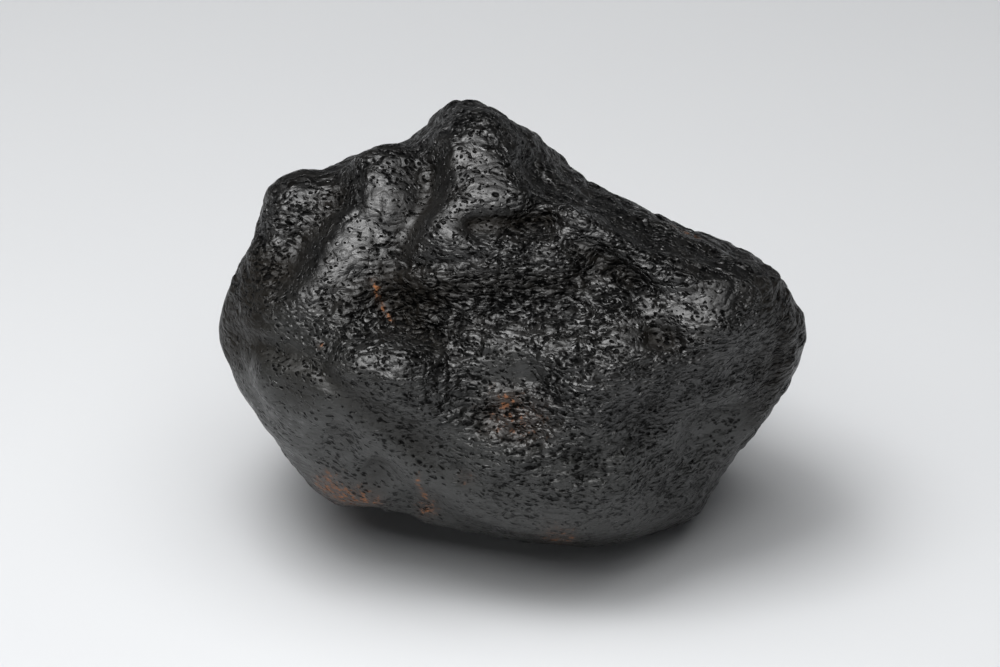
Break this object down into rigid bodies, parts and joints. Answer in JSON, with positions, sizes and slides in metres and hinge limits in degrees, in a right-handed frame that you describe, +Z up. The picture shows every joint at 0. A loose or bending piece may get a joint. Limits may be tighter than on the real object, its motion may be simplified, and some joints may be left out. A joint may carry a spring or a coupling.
{
  "type": "chondrite meteorite",
  "caption": "Small stony meteorite, an irregular broken stone with a peaked top, thumbprint hollows and a glossy black fusion crust, standing on a small flat spot.",
  "frame": {"origin": "on the ground, under the middle of the stone's bounding box", "axes": "+Z up from the flat spot, -Y out of the front with the wrinkled face, +X to the right along the stone's longest extent"},
  "size_m": [0.0338, 0.0266, 0.0255],
  "materials": {
    "crust": "glossy black fusion crust, finely pitted and wrinkled, with a few rusty spots"
  },
  "bodies": {
    "root": {"meteorite": "crust"}
  },
  "joints": []
}
